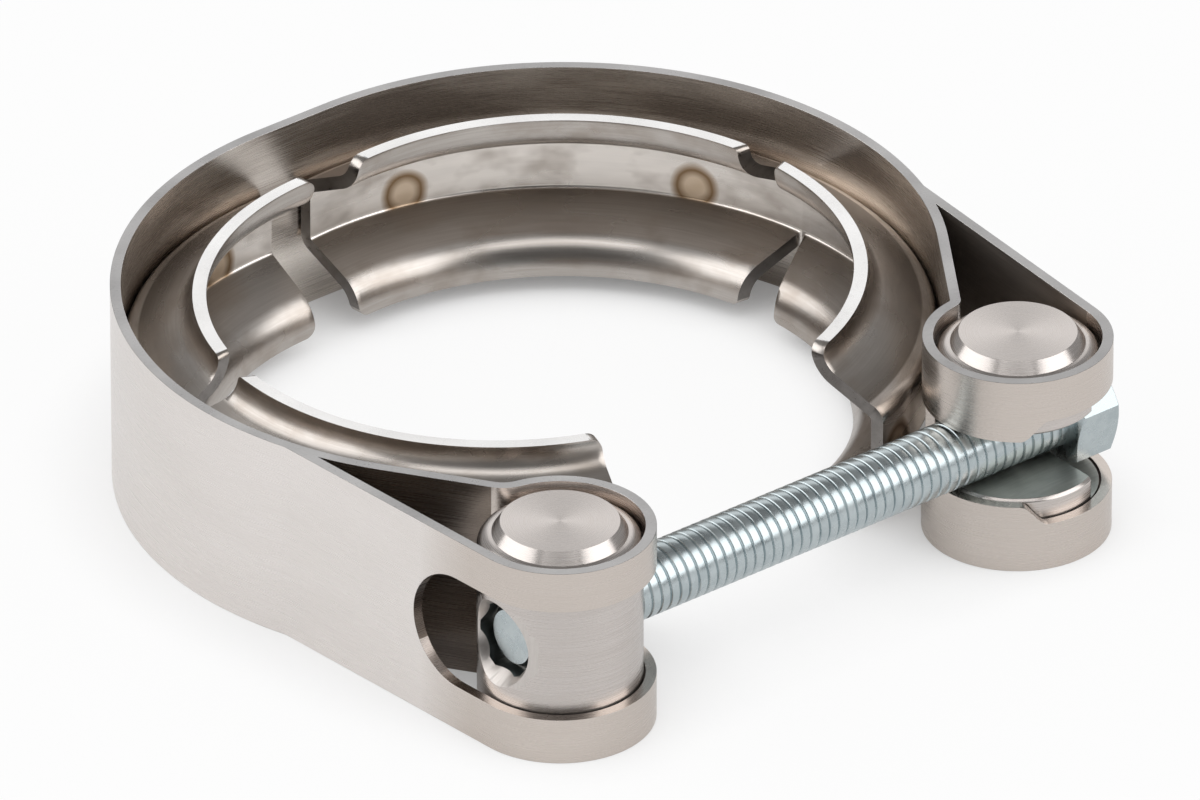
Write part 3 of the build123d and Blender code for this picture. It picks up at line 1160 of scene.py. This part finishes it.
def legLine(look, height):
    # Down the outer leg from the window's full-round end to the loop
    radius = height / 2
    centre = look["windowReach"] - radius
    arc = arcPoints(Vector((0, 0)), radius, 0, 90, look["windowArcStep"])
    line = [(look["loopMiddle"], centre + point.x, point.y) for point in arc]
    return line + [(look["loopMiddle"], 0, radius)]


def loopLine(look, height, lowHeight):
    # Clockwise round the loop, with a smooth step down to the lower height
    step = look["bendStep"]
    halfStep = math.degrees(look["stepLength"] / look["loopMiddle"]) / 2
    line = []
    turn = 0.0
    while turn > look["windowEnd"]:
        share = min(max((look["windowStep"] + halfStep - turn) / (2 * halfStep), 0), 1)
        smooth = share * share * (3 - 2 * share)
        place = polar(turn, look["loopMiddle"])
        line.append((place.x, place.y, (height + (lowHeight - height) * smooth) / 2))
        turn -= step / 4 if abs(turn - look["windowStep"]) < halfStep + step else step
    place = polar(look["windowEnd"], look["loopMiddle"])
    return line + [(place.x, place.y, lowHeight / 2)]


def dressStrap(piece, look, axis):
    ringMiddle = clamp["ringRadius"] - clamp["strapThickness"] / 2

    def onWall(normal):
        return abs(normal.z) < look["wallNormal"]

    def insideStrap(centre, normal):
        # The ring's inside faces, which take the painted shade and painted reflections
        place, facing = foldSides(centre, normal)
        fromRing = place - ringCentre
        inRing = fromRing.length < ringMiddle + look["insideOver"]
        return onWall(normal) and inRing and facing.dot(fromRing) < 0

    def betweenLegs(centre, normal):
        # The inner leg's face towards the outer leg, which little light reaches: it takes painted shade
        place, facing = foldSides(centre, normal)
        fromAxis = place - axis
        onLeg = place.y <= -look["weldDepth"] and fromAxis.length >= look["loopMiddle"] + look["loopOver"]
        towardsLeg = facing.dot(fromAxis) < 0 and facing.dot(place - ringCentre) > 0
        return onWall(normal) and onLeg and towardsLeg

    def onOuterLeg(centre, normal):
        # The outer leg's face towards the inner leg, which takes painted light
        place, facing = foldSides(centre, normal)
        fromAxis = place - axis
        fromRing = place - ringCentre
        onLeg = fromRing.length >= clamp["ringRadius"] and place.y >= axis.y
        offLoop = fromAxis.length >= look["loopMiddle"]
        inwards = facing.dot(fromAxis) < 0 and facing.dot(fromRing) < 0
        return onWall(normal) and onLeg and offLoop and inwards

    def onBevel(centre, normal):
        fromRim = min(centre.z, clamp["height"] - centre.z)
        return fromRim < look["edgeRound"] and look["bevelNormal"] < abs(normal.z) < look["rimNormal"]

    def outwards(centre, normal):
        place, facing = foldSides(centre, normal)
        middle = axis if place.y < -look["weldDepth"] else ringCentre
        return facing.dot(place - middle) > 0

    def onPaintedDarkLine(centre, normal):
        # A painted dark reflection: a thin dark line on the bevels beside the outer edges of the rims
        return onBevel(centre, normal) and outwards(centre, normal)

    def onPaintedHighlight(centre, normal):
        # A painted highlight: a bright line on the bevels beside the inner edges of the rims
        return onBevel(centre, normal) and not outwards(centre, normal)

    def onRim(centre, normal):
        return abs(normal.z) > look["rimNormal"] and min(centre.z, clamp["height"] - centre.z) < near

    for name, belongs in (("inside", insideStrap), ("hollowShade", betweenLegs), ("facing", onOuterLeg),
                          ("edge", onRim), ("paintedDarkLine", onPaintedDarkLine), ("paintedHighlight", onPaintedHighlight)):
        dressFaces(piece, finishes[name], belongs)


def makeStrap(look):
    axis = Vector((rightAxis.x, rightAxis.y)) / mm
    right = sidePath(look, axis, look["necks"]["right"])
    left = [Vector((-point.x, point.y)) for point in sidePath(look, axis, look["necks"]["left"])]
    piece = drawLine("strap_visual", [(point.x, point.y, 0) for point in left[::-1] + right[1:]])
    raiseAll(clamp["height"])
    closeMesh()
    thicken(piece, clamp["strapThickness"])
    for side, (legHeight, loopHeight) in look["windows"].items():
        line = legLine(look, legHeight) + loopLine(look, legHeight, loopHeight)[1:]
        combine(piece, windowSheet(look, axis, line, side), "DIFFERENCE", use_self=True)

    # The cutters leave slivers on flat faces
    editWhole(piece)
    mergeDoubles(touching)
    bpy.ops.mesh.dissolve_limited(angle_limit=math.radians(look["sliverAngle"]))
    bpy.ops.object.mode_set(mode="OBJECT")
    softenEdges(piece, look)
    handOver(piece, "band", "strap", finishes["strap"])
    dressStrap(piece, look, axis)


makeStrap(strapLook)


# Studio: a white floor, walls that fade into a darker ceiling, and four soft boxes
studio = {
    "floorSize": 12.0,
    "floorDrop": 0.02 * mm,
    "floorColour": (0.93, 0.93, 0.93, 1),
    "cameraGlow": 0.93,
    "mirrorGlow": 0.5,
    "shadowReach": 16.0 * mm,
    "shadowOpen": (-0.12, 0.85),
    "shadowSamples": 8,
    "wallReach": (0.4, 0.75),
    "wallStrength": (0.36, 0.24),
    "darkAzimuth": -39.0,
    "darkElevation": 30.5,
    "darkReach": (0.72, 0.93),
    "darkShare": (1.0, 0.35),
    "lampDistance": 1.2,
}
lamps = {
    "rightBox": {"azimuth": 36.0, "elevation": 34.0, "size": (1.05, 0.95), "radiance": 1.85},
    "leftBox": {"azimuth": -124.0, "elevation": 34.0, "size": (1.4, 0.95), "radiance": 1.7},
    "backBox": {"azimuth": 141.0, "elevation": 30.5, "size": (0.8, 0.5), "radiance": 0.8},
    "frontBox": {"azimuth": -39.0, "elevation": 64.0, "size": (1.0, 0.4), "radiance": 1.7},
}


def ownLight(tree):
    # The share of plain white that camera, glossy and transmission rays see in the floor, over its shadows
    path = addNode(tree, "ShaderNodeLightPath")
    mirrored = calc(tree, "MAXIMUM", path.outputs["Is Glossy Ray"], path.outputs["Is Transmission Ray"])
    seen = times(tree, path.outputs["Is Camera Ray"], studio["cameraGlow"])
    glow = calc(tree, "ADD", seen, times(tree, mirrored, studio["mirrorGlow"]))
    cover = addNode(tree, "ShaderNodeAmbientOcclusion", samples=studio["shadowSamples"])
    cover.inputs["Distance"].default_value = studio["shadowReach"]
    return times(tree, glow, spread(tree, cover.outputs["AO"], studio["shadowOpen"]))


def addFloor():
    bpy.ops.mesh.primitive_plane_add(size=studio["floorSize"], location=(0, 0, -studio["floorDrop"]))
    floor = bpy.context.object
    floor.name = "studioFloor"
    paint = bpy.data.materials.new("floorPaint")
    paint.use_nodes = True
    tree = paint.node_tree
    shader = tree.nodes["Principled BSDF"]
    shader.inputs["Base Color"].default_value = studio["floorColour"]
    shader.inputs["Roughness"].default_value = 1.0
    shader.inputs["Specular IOR Level"].default_value = 0.0
    white = addNode(tree, "ShaderNodeEmission")
    white.inputs["Strength"].default_value = 1.0
    mix = addNode(tree, "ShaderNodeMixShader")
    mixed = feed(tree, mix, ownLight(tree), shader.outputs[0], white.outputs[0])
    plug(tree, mixed, tree.nodes["Material Output"].inputs["Surface"])
    floor.data.materials.append(paint)


def addWorld():
    world = bpy.data.worlds.new("studioWorld")
    bpy.context.scene.world = world
    world.use_nodes = True
    tree = world.node_tree
    background = tree.nodes["Background"]
    direction = addNode(tree, "ShaderNodeTexCoord").outputs["Generated"]
    height = splitPlace(tree, direction)[2]
    walls = spread(tree, height, studio["wallReach"], studio["wallStrength"])

    # The wall is darker behind the camera, for the clamp to mirror
    towards = addNode(tree, "ShaderNodeVectorMath", operation="DOT_PRODUCT")
    feed(tree, towards, direction, directionTo(studio["darkAzimuth"], studio["darkElevation"]))
    dark = spread(tree, towards.outputs["Value"], studio["darkReach"], studio["darkShare"])
    plug(tree, times(tree, walls, dark), background.inputs["Strength"])
    background.inputs["Color"].default_value = (1, 1, 1, 1)


def addLamps():
    for name, lamp in lamps.items():
        away = directionTo(lamp["azimuth"], lamp["elevation"])
        bpy.ops.object.light_add(type="AREA", location=away * studio["lampDistance"],
                                 rotation=away.to_track_quat("Z", "Y").to_euler())
        light = bpy.context.object
        light.name = name
        light.data.shape = "RECTANGLE"
        light.data.size, light.data.size_y = lamp["size"]
        light.data.energy = lamp["radiance"] * math.pi * light.data.size * light.data.size_y


addFloor()
addWorld()
addLamps()
bpy.context.scene.view_settings.view_transform = "Standard"
print("stage: studio")
